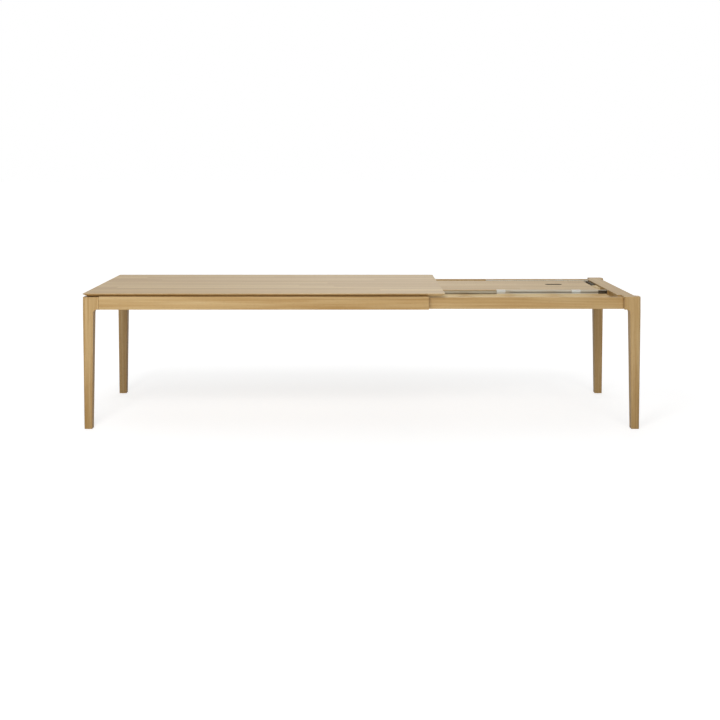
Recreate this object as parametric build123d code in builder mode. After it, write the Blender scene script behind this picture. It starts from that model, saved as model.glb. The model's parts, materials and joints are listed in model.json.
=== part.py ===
from build123d import *
import os
from math import cos, radians, sqrt

# Extendable dining table in light oak, drawn out to its full length.
#
# The fixed frame, on the left, carries the tabletop.  The pull-out frame, on the right, runs
# inside it: two slotted aluminium rails slide on steel bars, and the bars slide in channels
# screwed to bearers under the tabletop.  Between the rails lies the extension leaf, folded in
# half, with its underside and its finger pull on top.
#
# Millimetres.  +X runs along the table towards the pull-out end, -Y is the front, +Z is up.
# The origin lies on the floor under the middle of the drawn-out table.

# ------------------------------------------------------------------ driving sizes
TABLE_HEIGHT = 750.0        # floor to the top of the tabletop
TOP_LENGTH = 2000.0         # the tabletop, and the table when it is closed
TOP_WIDTH = 1000.0
TRAVEL = 1080.0             # stroke of the pull-out frame, and the room that it makes for the leaf

TOP_THICKNESS = 17.0
EDGE_HEIGHT = 3.5           # thin square edge left above the bevel
BEVEL_WIDTH = 22.0          # how far the bevel under the edge reaches in
TOP_CORNER_RADIUS = 3.0

LEG_BLOCK = 88.0            # square block at the top of a leg, which the aprons join
LEG_POST = 59.0             # square of the leg where its taper starts
LEG_FOOT = 44.5             # square of the leg at its foot
LEG_CORNER_RADIUS = 11.0    # outer vertical corner
LEG_EDGE_RADIUS = 2.0       # the other three vertical edges
KNEE_RADIUS = 18.0          # hollow curve between block and post
COVE_LAND = 6.0             # flat beside the hollow curve at the end of the table
LEG_TOP_GAP = 3.0           # shadow gap between the left legs and the tabletop
JOINT_CHAMFER = 1.0         # on the edge of a leg block that a long apron meets
JOINT_GROOVE = 2.5          # width and depth of the shadow groove at that end of the apron
JOINT_GROOVE_DEPTH = 4.0

APRON_HEIGHT = 72.0
APRON_THICKNESS = 22.0      # end aprons and inner aprons
OUTER_THICKNESS = 30.0      # outer aprons
APRON_EDGE_RADIUS = 1.5
APRON_CLEARANCE = 2.0       # between an outer apron and the inner apron that slides past it
END_APRON_RECESS = 22.0     # end aprons stand this far in from the leg faces
INNER_TAIL = 330.0          # length of inner apron still inside the outer one when drawn out
CLOSING_GAP = 2.0           # between leg block and outer apron when the table is closed
RUN_GAP = 1.0               # between the pull-out frame and the tabletop's underside
INNER_DROP = 6.0            # inner aprons lie this much lower than the rest of that frame

FIXED_RAIL_WIDTH = 30.0     # cross rail of the fixed frame
FIXED_RAIL_HEIGHT = 62.0
FIXED_RAIL_GAP = 35.0       # left free past the inner aprons when the table is closed

BAY_RAIL_WIDTH = 60.0       # cross rails of the pull-out frame, under the leaf
BAY_RAIL_HEIGHT = 28.0
BAY_RAIL_LIFT = 4.0         # their underside above the lower edge of the aprons
BAY_RAIL_COUNT = 5          # under the leaf; one more ties the tails of the inner aprons
BAY_RAIL_GAP = 2.0          # from the last one to the corner blocks
TAIL_RAIL_INSET = 20.0      # from the end of the inner aprons to the rail at their tails
CLEAT_WIDTH = 65.0          # wide cleat inside the end apron of the pull-out frame
CLEAT_HEIGHT = 27.0
CLEAT_SCREW_LENGTH = 80.0
BEARER_TAIL = 45.0          # how far the bearers of the leaf rails reach under the cleat
CLEAT_SCREW_INNER = 120.0   # its screws, from the middle line
CLEAT_SCREW_OUTER = 9.0     # and inwards from the rear leaf rail's line

BAY_MIDDLE = 88.0           # the leaf lies this far behind the table's middle line
LEAF_CLEARANCE = 1.0        # leaf shorter than the room it fills
LEAF_END_ROOM = 91.0        # from the stored leaf to the inside of the end apron
LEAF_SIDE_GAP = 1.0         # between the stored leaf and the rails beside it
LEAF_REST_HEIGHT = 3.0      # felt strips that the leaf lies on
LEAF_REST_WIDTH = 24.0
LEAF_REST_INSET = 15.0      # strip ends in from the leaf's long edges
LEAF_FELT = 0.6             # felt dots that keep the folded faces apart
FELT_DOT_RADIUS = 7.0
FELT_DOT_INSET = 60.0

HINGE_COUNT = 4
HINGE_INSET = 130.0         # first and last hinge from the leaf's ends
HINGE_BARREL_RADIUS = 5.0
HINGE_BARREL_DEPTH = 20.0
HINGE_LINK_WIDTH = 9.0
HINGE_LINK_THICKNESS = 3.5  # let into the seam edges, flush with them

PULL_LENGTH = 105.0         # oval finger pull let into the leaf's underside
PULL_WIDTH = 45.0
PULL_DEPTH = 11.0
PULL_WALL = 1.5
PULL_INSET = 237.0          # its centre from the leaf's end
PULL_OFFSET = 36.0          # its centre behind the leaf's middle line

RAIL_WIDTH = 22.0           # slotted aluminium rail of the pull-out frame
RAIL_HEIGHT = 20.0
RAIL_DROP = 1.0             # its top edge below the rest of that frame
RAIL_WALL = 1.8
RAIL_CAP = 4.0              # its top wall and its floor
RAIL_FLOOR = 3.5
RAIL_SLOT = 5.6             # height of the slot in its outer wall
RAIL_LIP = 8.7              # wall above that slot
RAIL_LENGTH = 638.0
RAIL_END_GAP = 8.0          # from the rail's end to the cleat
RAIL_SCREW_INSET = 25.0     # first and last rail screw from the rail's ends
RAIL_SCREW_COUNT = 5
SLIDE_PLAY = 0.5            # play of a slide bar in its rail and its channel

SHOE_PLATE = 3.0            # dark end shoe: plate against the rail and plug in it
SHOE_PLUG = 8.0
SHOE_CHEEK = 50.0           # its cheek, which takes the place of the rail's outer wall there
SHOE_ARM_WIDTH = 18.0       # arm of the rear shoe, which stops the folded leaf at its end
SHOE_ARM_HEIGHT = 18.0
SHOE_ARM_DROP = 5.0         # its top edge below the rail's

PAD_LENGTH = 50.0           # nylon pads let into the rail
PAD_SECOND = 435.0          # second pad from the rail's mouth
PAD_SEAT = 2.0              # how deep they are let into the rail's top wall
PAD_PROUD = 0.4             # above the rest of the pull-out frame, so the tabletop runs on them
PAD_GAP = 0.4               # between a pad and the neck of the bar

BAR_LENGTH = 988.0          # steel slide bar
BAR_OVERLAP = 75.0          # how much of it is still in the rail when drawn out
BAR_NECK = 2.2              # height of the neck that passes through the slot
BAR_TONGUE_WIDTH = 8.8      # the part of the bar that runs in the channel
BAR_TONGUE_HEIGHT = 9.0
BAR_TONGUE_SETBACK = 7.0    # the tongue stops this far before the rail's mouth

CHANNEL_WALL = 1.2          # steel channel on the bearer
CHANNEL_LIP = 2.8
CHANNEL_END_GAP = 4.0       # channel end to the cleat when the table is closed
BEARER_THICKNESS = 24.0
BEARER_HEIGHT = 38.0
BEARER_OVERHANG = 90.0      # bearer past the channel at its far end

CORNER_COVER = 13.0         # wood left between a corner block's face and the leg's inner corner
CORNER_BLOCK_HEIGHT = 38.0
CORNER_BLOCK_LIFT = 6.0

BOLT_RADIUS = 4.0
BOLT_IN_LEG = 42.0
BOLT_END = 10.0             # thread showing past the corner block
NUT_FLATS = 13.0
NUT_HEIGHT = 6.5
WASHER_RADIUS = 9.0
WASHER_THICKNESS = 1.6

DOWEL_RADIUS = 5.0
DOWEL_LENGTH = 50.0
DOWEL_EDGE = 18.0           # dowels in from the upper and lower edge of an apron
RAIL_DOWEL_RADIUS = 4.0
RAIL_DOWEL_LENGTH = 32.0
RAIL_DOWEL_DEPTH = 12.0     # how far it enters the apron
FIT = 0.05                  # radial clearance of a dowel, screw or bolt in its hole

SCREW_RADIUS = 2.0
SCREW_HEAD_RADIUS = 3.7
SCREW_HEAD_HEIGHT = 2.2
SCREW_IN_TOP = 10.0         # how far a screw enters the tabletop
SCREW_WOOD_LEFT = 34.0      # wood between a screw head and the tabletop
POCKET_RADIUS = 3.9         # hole that takes the head below the apron's edge
APRON_SCREW_INSET = 25.0    # top screws in from the outer aprons' faces, clear of the bevel
SMALL_SCREW_RADIUS = 1.6
SMALL_HEAD_RADIUS = 3.2
SMALL_HEAD_HEIGHT = 1.6
SMALL_SCREW_LENGTH = 14.0

GLIDE_RADIUS = 15.0         # nail-on glides under the feet
GLIDE_HEIGHT = 2.0
GLIDE_NAIL_RADIUS = 1.5
GLIDE_NAIL_LENGTH = 16.0

BUTTON_RADIUS = 12.0        # nylon buttons between inner and outer aprons
BUTTON_CLEARANCE = 0.4
BUTTON_INSET = 35.0
BUMPER_RADIUS = 6.0         # felt dots that meet the leg blocks on closing
BUMPER_CLEARANCE = 0.5

STOP_LENGTH = 12.0          # wooden stops at the ends of the stored leaf
STOP_WIDTH = 120.0
STOP_HEIGHT = 17.0
STOP_GAP = 0.5
STOP_MARGIN = 3.0           # from the left stop to the edge of the cross rail that carries it

KEEPER_LENGTH = 30.0        # forked strike plate let into the tabletop's underside
KEEPER_WIDTH = 40.0
KEEPER_THICKNESS = 2.0
KEEPER_FORK = 12.0
KEEPER_SPREAD = 370.0       # its distance from the middle line
KEEPER_INSET = 24.0

BEARER_SCREW_DEPTH = 15.0   # how far the screws through the cross rails enter the rail bearers

# ------------------------------------------------------------------ levels and lines
SIDES = {"front": -1, "rear": 1}
ENDS = {"left": -1, "right": 1}

HALF_LENGTH = (TOP_LENGTH + TRAVEL) / 2
HALF_WIDTH = TOP_WIDTH / 2
TOP_END = -HALF_LENGTH + TOP_LENGTH
BLOCK_X = HALF_LENGTH - LEG_BLOCK           # inner face of the leg blocks, along the table
BLOCK_Y = HALF_WIDTH - LEG_BLOCK            # inner face of the leg blocks, across the table

UNDERSIDE = TABLE_HEIGHT - TOP_THICKNESS
APRON_BOTTOM = UNDERSIDE - APRON_HEIGHT
PULL_TOP = UNDERSIDE - RUN_GAP
LEG_TOP = {"left": UNDERSIDE - LEG_TOP_GAP, "right": PULL_TOP}
INNER_TOP = PULL_TOP - INNER_DROP
NECK_Z = APRON_BOTTOM - KNEE_RADIUS

OUTER_FACE = HALF_WIDTH                     # outer aprons: outer and inner face
OUTER_BACK = OUTER_FACE - OUTER_THICKNESS
OUTER_END = TOP_END - LEG_BLOCK - CLOSING_GAP
INNER_FACE = OUTER_BACK - APRON_CLEARANCE   # inner aprons: outer and inner face
INNER_BACK = INNER_FACE - APRON_THICKNESS
INNER_START = OUTER_END - INNER_TAIL
END_FACE = HALF_LENGTH - END_APRON_RECESS   # end aprons: outer and inner face
END_BACK = END_FACE - APRON_THICKNESS
CLEAT_BACK = END_BACK - CLEAT_WIDTH
CLEAT_BOTTOM = PULL_TOP - CLEAT_HEIGHT
CORNER_LINE = BLOCK_X + BLOCK_Y - CORNER_COVER * sqrt(2)    # |x| + |y| on a corner block's face

BAY_RAIL_BOTTOM = APRON_BOTTOM + BAY_RAIL_LIFT
BAY_RAIL_TOP = BAY_RAIL_BOTTOM + BAY_RAIL_HEIGHT

LEAF_LENGTH = TRAVEL - LEAF_CLEARANCE
LEAF_HALF = HALF_WIDTH / 2                  # half the width of the folded leaf
LEAF_RIGHT = END_BACK - LEAF_END_ROOM
LEAF_LEFT = LEAF_RIGHT - LEAF_LENGTH
LOWER_UNDER = BAY_RAIL_TOP + LEAF_REST_HEIGHT
LOWER_SHOW = LOWER_UNDER + TOP_THICKNESS
UPPER_SHOW = LOWER_SHOW + LEAF_FELT
UPPER_UNDER = UPPER_SHOW + TOP_THICKNESS

FIRST_BAY_RAIL = LEAF_LEFT - STOP_GAP - STOP_LENGTH - STOP_MARGIN + BAY_RAIL_WIDTH / 2
LAST_BAY_RAIL = CORNER_LINE - INNER_BACK - BAY_RAIL_GAP - BAY_RAIL_WIDTH / 2
BAY_RAIL_STEP = (LAST_BAY_RAIL - FIRST_BAY_RAIL) / (BAY_RAIL_COUNT - 1)
LEAF_RAIL_X = [FIRST_BAY_RAIL + i * BAY_RAIL_STEP for i in range(BAY_RAIL_COUNT)]
TAIL_RAIL_X = INNER_START + TAIL_RAIL_INSET + BAY_RAIL_WIDTH / 2
BAY_RAIL_X = [TAIL_RAIL_X] + LEAF_RAIL_X

# From here to the bearers, y is measured from the bay's middle line: see bay().
RAIL_IN = LEAF_HALF + LEAF_SIDE_GAP         # inner and outer wall of the aluminium rail
RAIL_OUT = RAIL_IN + RAIL_WIDTH
RAIL_TOP = PULL_TOP - RAIL_DROP
RAIL_BOTTOM = RAIL_TOP - RAIL_HEIGHT
RAIL_RIGHT = CLEAT_BACK - RAIL_END_GAP
RAIL_LEFT = RAIL_RIGHT - RAIL_LENGTH
SHOE_RIGHT = RAIL_RIGHT + SHOE_PLATE
SLOT_TOP = RAIL_TOP - RAIL_LIP
SLOT_BOTTOM = SLOT_TOP - RAIL_SLOT
SLOT_MIDDLE = SLOT_TOP - RAIL_SLOT / 2
PAD_STARTS = [RAIL_LEFT, RAIL_LEFT + PAD_SECOND]

BAR_RIGHT = RAIL_LEFT + BAR_OVERLAP
BAR_LEFT = BAR_RIGHT - BAR_LENGTH
TONGUE_RIGHT = RAIL_LEFT - BAR_TONGUE_SETBACK
CHANNEL_IN = RAIL_OUT + SLIDE_PLAY          # face of the channel's lips
TONGUE_IN = CHANNEL_IN + CHANNEL_WALL / 2 + SLIDE_PLAY
TONGUE_OUT = TONGUE_IN + BAR_TONGUE_WIDTH
CHANNEL_BACK = TONGUE_OUT + SLIDE_PLAY      # inside of the channel's web
BEARER_IN = CHANNEL_BACK + CHANNEL_WALL
BEARER_OUT = BEARER_IN + BEARER_THICKNESS
TONGUE_BOTTOM = SLOT_MIDDLE - BAR_TONGUE_HEIGHT / 2
TONGUE_TOP = SLOT_MIDDLE + BAR_TONGUE_HEIGHT / 2
NECK_BOTTOM = SLOT_MIDDLE - BAR_NECK / 2
NECK_TOP = SLOT_MIDDLE + BAR_NECK / 2
CHANNEL_RIGHT = CLEAT_BACK - TRAVEL - CHANNEL_END_GAP
CHANNEL_LEFT = BAR_LEFT - TRAVEL / 2        # reaches the bar's tail when the table is closed
BEARER_LEFT = CHANNEL_LEFT - BEARER_OVERHANG

FIXED_RAIL_X = INNER_START - TRAVEL - FIXED_RAIL_GAP - FIXED_RAIL_WIDTH / 2
BOLT_Z = APRON_BOTTOM + CORNER_BLOCK_LIFT + CORNER_BLOCK_HEIGHT / 2

os.makedirs("parts", exist_ok=True)


# ------------------------------------------------------------------ helpers
def save(builder, label):
    """Name a finished piece and write its STEP file."""
    builder.part.label = label
    export_step(builder.part, f"parts/{label}.step")


def bay(y):
    """The y of a place that is measured from the middle line of the leaf bay."""
    return BAY_MIDDLE + y


def slab(x0, x1, y0, y1, z0, z1, mode=Mode.ADD):
    """A box between two corners, in the part being built."""
    with Locations(((x0 + x1) / 2, (y0 + y1) / 2, (z0 + z1) / 2)):
        Box(abs(x1 - x0), abs(y1 - y0), abs(z1 - z0), mode=mode)


def rod(start, direction, radius, length, mode=Mode.ADD):
    """A round bar from a point along a direction, in the part being built."""
    with BuildSketch(Plane(origin=start, z_dir=direction)) as section:
        Circle(radius)
    extrude(section.sketch, amount=length, mode=mode)


def screw(start, direction, radius, length, head_radius, head_height, mode=Mode.ADD, fit=0.0):
    """A countersunk screw whose head is flush at start."""
    plane = Plane(origin=start, z_dir=direction)
    with BuildSketch(plane) as shank:
        Circle(radius + fit)
    extrude(shank.sketch, amount=length, mode=mode)
    with BuildSketch(plane) as head:
        Circle(head_radius + fit)
    with BuildSketch(plane.offset(head_height)) as neck:
        Circle(radius + fit)
    loft([head.sketch, neck.sketch], mode=mode)


def small_screw(start, direction, mode=Mode.ADD, fit=0.0):
    """The countersunk screw that holds the metal fittings."""
    screw(start, direction, SMALL_SCREW_RADIUS, SMALL_SCREW_LENGTH, SMALL_HEAD_RADIUS,
          SMALL_HEAD_HEIGHT, mode, fit)


def top_screw(x, y, head_z, mode=Mode.ADD, fit=0.0):
    """A screw that goes up into the tabletop."""
    screw((x, y, head_z), (0, 0, 1), SCREW_RADIUS, UNDERSIDE + SCREW_IN_TOP - head_z,
          SCREW_HEAD_RADIUS, SCREW_HEAD_HEIGHT, mode, fit)


def rectangle_between(x0, x1, y0, y1, radius=0.0):
    """A rectangle between two corners, in the sketch being drawn."""
    with Locations(((x0 + x1) / 2, (y0 + y1) / 2)):
        if radius:
            RectangleRounded(x1 - x0, y1 - y0, radius)
        else:
            Rectangle(x1 - x0, y1 - y0)


def bevelled_panel(x0, x1, y0, y1, show, under, insets, radius=0.0):
    """A board with a thin edge and a bevel behind it on its underside.

    show and under are the heights of its two faces, and insets says how far the bevel comes
    in at x0, x1, y0 and y1.
    """
    up = 1 if show > under else -1
    edge_z = show - up * EDGE_HEIGHT
    in_x0, in_x1, in_y0, in_y1 = insets
    with BuildSketch(Plane.XY.offset(under)) as far_face:
        rectangle_between(x0 + in_x0, x1 - in_x1, y0 + in_y0, y1 - in_y1, radius)
    with BuildSketch(Plane.XY.offset(edge_z)) as full_face:
        rectangle_between(x0, x1, y0, y1, radius)
    loft([far_face.sketch, full_face.sketch])
    extrude(full_face.sketch, amount=up * EDGE_HEIGHT)


# ------------------------------------------------------------------ places of the fasteners
def spread(first, last, count):
    """Evenly spaced places from first to last."""
    return [first + i * (last - first) / (count - 1) for i in range(count)]


BEARER_SCREW_X = spread(BEARER_LEFT + 60, CHANNEL_RIGHT - 60, 5)
APRON_SCREW_X = spread(-BLOCK_X + 90, OUTER_END - 90, 6)
END_SCREW_Y = [-BLOCK_Y / 2, BLOCK_Y / 2]
FIXED_RAIL_SCREW_Y = [-BLOCK_Y / 2, 0, BLOCK_Y / 2]
HEAD_Z = UNDERSIDE - SCREW_WOOD_LEFT

BEARER_SCREWS = [(x, bay(side * (BEARER_IN + BEARER_OUT) / 2))
                 for side in SIDES.values() for x in BEARER_SCREW_X]
APRON_SCREWS = [(x, side * (OUTER_FACE - APRON_SCREW_INSET))
                for side in SIDES.values() for x in APRON_SCREW_X]
END_SCREWS = [(-(END_FACE + END_BACK) / 2, y) for y in END_SCREW_Y]
FIXED_RAIL_SCREWS = [(FIXED_RAIL_X, y) for y in FIXED_RAIL_SCREW_Y]
ALL_TOP_SCREWS = BEARER_SCREWS + APRON_SCREWS + END_SCREWS + FIXED_RAIL_SCREWS

CLEAT_SCREWS = [(CLEAT_BACK, side * y, PULL_TOP - CLEAT_HEIGHT / 2)
                for side in SIDES.values()
                for y in (CLEAT_SCREW_INNER, bay(RAIL_IN) - CLEAT_SCREW_OUTER)]

APRON_DOWEL_Z = [APRON_BOTTOM + DOWEL_EDGE, INNER_TOP - DOWEL_EDGE]
CHANNEL_SCREW_X = spread(CHANNEL_LEFT + 40, CHANNEL_RIGHT - 40, 5)
RAIL_SCREW_X = spread(RAIL_LEFT + RAIL_SCREW_INSET, RAIL_RIGHT - RAIL_SCREW_INSET,
                      RAIL_SCREW_COUNT)
KEEPER_X = TOP_END - KEEPER_INSET - KEEPER_LENGTH / 2
KEEPER_SCREW_SPREAD = KEEPER_WIDTH / 2 - 7
HINGE_X = spread(LEAF_LEFT + HINGE_INSET, LEAF_RIGHT - HINGE_INSET, HINGE_COUNT)
PULL_X = LEAF_RIGHT - PULL_INSET


def long_apron_dowels(end, side, mode=Mode.ADD, fit=0.0):
    """The two dowels between a long apron and its leg block."""
    face = (OUTER_FACE + OUTER_BACK) / 2 if end < 0 else (INNER_FACE + INNER_BACK) / 2
    for z in APRON_DOWEL_Z:
        start = (end * (BLOCK_X - DOWEL_LENGTH / 2), side * face, z)
        rod(start, (end, 0, 0), DOWEL_RADIUS + fit, DOWEL_LENGTH, mode)


def end_apron_dowels(end, side, mode=Mode.ADD, fit=0.0):
    """The two dowels between an end apron and its leg block."""
    middle = end * (END_FACE + END_BACK) / 2
    for z in APRON_DOWEL_Z:
        start = (middle, side * (BLOCK_Y - DOWEL_LENGTH / 2), z)
        rod(start, (0, side, 0), DOWEL_RADIUS + fit, DOWEL_LENGTH, mode)


def cross_dowels(x, face, z, spacing, side, mode=Mode.ADD, fit=0.0):
    """Two dowels side by side between a cross rail and the apron face that it meets."""
    for dx in (-spacing / 2, spacing / 2):
        start = (x + dx, side * (face - RAIL_DOWEL_LENGTH + RAIL_DOWEL_DEPTH), z)
        rod(start, (0, side, 0), RAIL_DOWEL_RADIUS + fit, RAIL_DOWEL_LENGTH, mode)


BAY_DOWEL_SPACING = BAY_RAIL_WIDTH / 2
BAY_DOWEL_Z = (BAY_RAIL_BOTTOM + BAY_RAIL_TOP) / 2
FIXED_DOWEL_Z = UNDERSIDE - FIXED_RAIL_HEIGHT / 2
FIXED_DOWEL_SPACING = 0.4 * FIXED_RAIL_WIDTH


def corner_bolt(end, side, mode=Mode.ADD, fit=0.0):
    """The bolt that ties a leg to its corner block, along the diagonal of the corner."""
    inward = CORNER_COVER + BOLT_END
    reach = inward / sqrt(2)
    start = (end * (BLOCK_X - reach), side * (BLOCK_Y - reach), BOLT_Z)
    rod(start, (end, side, 0), BOLT_RADIUS + fit, inward + BOLT_IN_LEG, mode)


# ------------------------------------------------------------------ tabletop
with BuildPart() as tabletop:
    bevelled_panel(-HALF_LENGTH, TOP_END, -HALF_WIDTH, HALF_WIDTH, TABLE_HEIGHT, UNDERSIDE,
                   [BEVEL_WIDTH] * 4, TOP_CORNER_RADIUS)
    for x, y in ALL_TOP_SCREWS:
        rod((x, y, UNDERSIDE), (0, 0, 1), SCREW_RADIUS + FIT, SCREW_IN_TOP + FIT, Mode.SUBTRACT)
    for side in SIDES.values():
        y = side * KEEPER_SPREAD
        slab(KEEPER_X - KEEPER_LENGTH / 2, KEEPER_X + KEEPER_LENGTH / 2, y - KEEPER_WIDTH / 2,
             y + KEEPER_WIDTH / 2, UNDERSIDE, UNDERSIDE + KEEPER_THICKNESS, Mode.SUBTRACT)
        for dy in (-KEEPER_SCREW_SPREAD, KEEPER_SCREW_SPREAD):
            place = (KEEPER_X, y + dy, UNDERSIDE)
            rod(place, (0, 0, 1), SMALL_SCREW_RADIUS + FIT, SMALL_SCREW_LENGTH, Mode.SUBTRACT)
save(tabletop, "tabletop")


# ------------------------------------------------------------------ legs
def post_outline(end, side, near, far):
    """Square of a leg with its outer corner rounded; near and far are measured from the faces."""
    def at(u, v):
        return (end * (HALF_LENGTH - u), side * (HALF_WIDTH - v))

    big = LEG_CORNER_RADIUS * (1 - cos(radians(45)))
    small = LEG_EDGE_RADIUS * (1 - cos(radians(45)))
    outer, inner = LEG_CORNER_RADIUS, LEG_EDGE_RADIUS
    with BuildLine() as outline:
        Line(at(near + outer, near), at(far - inner, near))
        ThreePointArc(at(far - inner, near), at(far - small, near + small), at(far, near + inner))
        Line(at(far, near + inner), at(far, far - inner))
        ThreePointArc(at(far, far - inner), at(far - small, far - small), at(far - inner, far))
        Line(at(far - inner, far), at(near + inner, far))
        ThreePointArc(at(near + inner, far), at(near + small, far - small), at(near, far - inner))
        Line(at(near, far - inner), at(near, near + outer))
        ThreePointArc(at(near, near + outer), at(near + big, near + big), at(near + outer, near))
    make_face(outline.edges())


def block_outline(end, side):
    """Plan of a leg block: outer corner rounded, hollow curve towards the end apron."""
    def at(u, v):
        return (end * (HALF_LENGTH - u), side * (HALF_WIDTH - v))

    corner = LEG_CORNER_RADIUS
    bulge = corner * (1 - cos(radians(45)))
    recess = END_APRON_RECESS
    cove_v = LEG_BLOCK - COVE_LAND
    chamfer_u = LEG_BLOCK - JOINT_CHAMFER
    dip = recess * cos(radians(45))
    with BuildLine() as outline:
        Line(at(corner, 0), at(chamfer_u, 0))
        Line(at(chamfer_u, 0), at(LEG_BLOCK, JOINT_CHAMFER))
        Line(at(LEG_BLOCK, JOINT_CHAMFER), at(LEG_BLOCK, LEG_BLOCK))
        Line(at(LEG_BLOCK, LEG_BLOCK), at(recess, LEG_BLOCK))
        Line(at(recess, LEG_BLOCK), at(recess, cove_v))
        ThreePointArc(at(recess, cove_v), at(dip, cove_v - dip), at(0, cove_v - recess))
        Line(at(0, cove_v - recess), at(0, corner))
        ThreePointArc(at(0, corner), at(bulge, bulge), at(corner, 0))
    make_face(outline.edges())


def knee_profile(outer_face, sign, top):
    """Upright profile of a leg's upper part, with the hollow knee under its block."""
    def at(u, z):
        return (sign * (outer_face - u), z)

    knee_u = LEG_POST + KNEE_RADIUS
    dip = KNEE_RADIUS * cos(radians(45))
    with BuildLine() as outline:
        Line(at(0, NECK_Z), at(LEG_POST, NECK_Z))
        ThreePointArc(at(LEG_POST, NECK_Z), at(knee_u - dip, NECK_Z + dip),
                      at(knee_u, APRON_BOTTOM))
        Line(at(knee_u, APRON_BOTTOM), at(LEG_BLOCK, APRON_BOTTOM))
        Line(at(LEG_BLOCK, APRON_BOTTOM), at(LEG_BLOCK, top))
        Line(at(LEG_BLOCK, top), at(0, top))
        Line(at(0, top), at(0, NECK_Z))
    make_face(outline.edges())


FOOT_INSET = (LEG_POST - LEG_FOOT) / 2
for end_name, end in ENDS.items():
    for side_name, side in SIDES.items():
        with BuildPart() as leg:
            with BuildSketch(Plane.XY.offset(NECK_Z)):
                block_outline(end, side)
            extrude(amount=LEG_TOP[end_name] - NECK_Z)
            with BuildSketch(Plane.XZ):
                knee_profile(HALF_LENGTH, end, LEG_TOP[end_name])
            extrude(amount=TOP_WIDTH, both=True, mode=Mode.INTERSECT)
            with BuildSketch(Plane.YZ):
                knee_profile(HALF_WIDTH, side, LEG_TOP[end_name])
            extrude(amount=HALF_LENGTH + TOP_WIDTH, both=True, mode=Mode.INTERSECT)
            with BuildSketch(Plane.XY.offset(GLIDE_HEIGHT)):
                post_outline(end, side, FOOT_INSET, LEG_POST - FOOT_INSET)
            with BuildSketch(Plane.XY.offset(NECK_Z)):
                post_outline(end, side, 0, LEG_POST)
            loft()
            long_apron_dowels(end, side, Mode.SUBTRACT, FIT)
            end_apron_dowels(end, side, Mode.SUBTRACT, FIT)
            corner_bolt(end, side, Mode.SUBTRACT, FIT)
            nail = (end * (HALF_LENGTH - LEG_POST / 2), side * (HALF_WIDTH - LEG_POST / 2),
                    GLIDE_HEIGHT)
            rod(nail, (0, 0, 1), GLIDE_NAIL_RADIUS + FIT, GLIDE_NAIL_LENGTH, Mode.SUBTRACT)
        save(leg, f"leg_{side_name}_{end_name}")

    with BuildPart() as foot_glides:
        for side in SIDES.values():
            x = end * (HALF_LENGTH - LEG_POST / 2)
            y = side * (HALF_WIDTH - LEG_POST / 2)
            rod((x, y, 0), (0, 0, 1), GLIDE_RADIUS, GLIDE_HEIGHT)
            rod((x, y, GLIDE_HEIGHT), (0, 0, 1), GLIDE_NAIL_RADIUS, GLIDE_NAIL_LENGTH)
    save(foot_glides, f"foot_glides_{end_name}")


# ------------------------------------------------------------------ aprons
def soften_lower_edges(builder):
    """Round the two long lower edges of an apron."""
    long_axis = Axis.X if builder.part.bounding_box().size.X > TOP_WIDTH else Axis.Y
    edges = builder.edges().filter_by(long_axis).sort_by(Axis.Z)[:2]
    fillet(edges, radius=APRON_EDGE_RADIUS)


def joint_groove(end, face, side, top):
    """The shadow groove in a long apron's face, beside its leg block."""
    slab(end * BLOCK_X, end * (BLOCK_X - JOINT_GROOVE), face, face - side * JOINT_GROOVE_DEPTH,
         APRON_BOTTOM, top, Mode.SUBTRACT)


for side_name, side in SIDES.items():
    with BuildPart() as outer_apron:
        slab(-BLOCK_X, OUTER_END, side * OUTER_BACK, side * OUTER_FACE, APRON_BOTTOM, UNDERSIDE)
        soften_lower_edges(outer_apron)
        joint_groove(-1, side * OUTER_FACE, side, UNDERSIDE)
        long_apron_dowels(-1, side, Mode.SUBTRACT, FIT)
        cross_dowels(FIXED_RAIL_X, OUTER_BACK, FIXED_DOWEL_Z, FIXED_DOWEL_SPACING, side,
                     Mode.SUBTRACT, FIT)
        for x, y in APRON_SCREWS:
            rod((x, y, APRON_BOTTOM), (0, 0, 1), POCKET_RADIUS, HEAD_Z - APRON_BOTTOM,
                Mode.SUBTRACT)
            top_screw(x, y, HEAD_Z, Mode.SUBTRACT, FIT)
    save(outer_apron, f"outer_apron_{side_name}")

    with BuildPart() as inner_apron:
        slab(INNER_START, BLOCK_X, side * INNER_BACK, side * INNER_FACE, APRON_BOTTOM, INNER_TOP)
        soften_lower_edges(inner_apron)
        joint_groove(1, side * INNER_FACE, side, INNER_TOP)
        long_apron_dowels(1, side, Mode.SUBTRACT, FIT)
        for x in BAY_RAIL_X:
            cross_dowels(x, INNER_BACK, BAY_DOWEL_Z, BAY_DOWEL_SPACING, side, Mode.SUBTRACT, FIT)
    save(inner_apron, f"inner_apron_{side_name}")

for end_name, end in ENDS.items():
    top = UNDERSIDE if end < 0 else PULL_TOP
    with BuildPart() as end_apron:
        slab(end * END_BACK, end * END_FACE, -BLOCK_Y, BLOCK_Y, APRON_BOTTOM, top)
        soften_lower_edges(end_apron)
        for side in SIDES.values():
            end_apron_dowels(end, side, Mode.SUBTRACT, FIT)
        for x, y in END_SCREWS if end < 0 else []:
            rod((x, y, APRON_BOTTOM), (0, 0, 1), POCKET_RADIUS, HEAD_Z - APRON_BOTTOM,
                Mode.SUBTRACT)
            top_screw(x, y, HEAD_Z, Mode.SUBTRACT, FIT)
        for x, y, z in CLEAT_SCREWS if end > 0 else []:
            rod((x, y, z), (1, 0, 0), SCREW_RADIUS + FIT, CLEAT_SCREW_LENGTH, Mode.SUBTRACT)
    save(end_apron, f"end_apron_{end_name}")

    with BuildPart() as apron_dowels:
        for side in SIDES.values():
            long_apron_dowels(end, side)
            end_apron_dowels(end, side)
    save(apron_dowels, f"apron_dowels_{end_name}")


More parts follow.
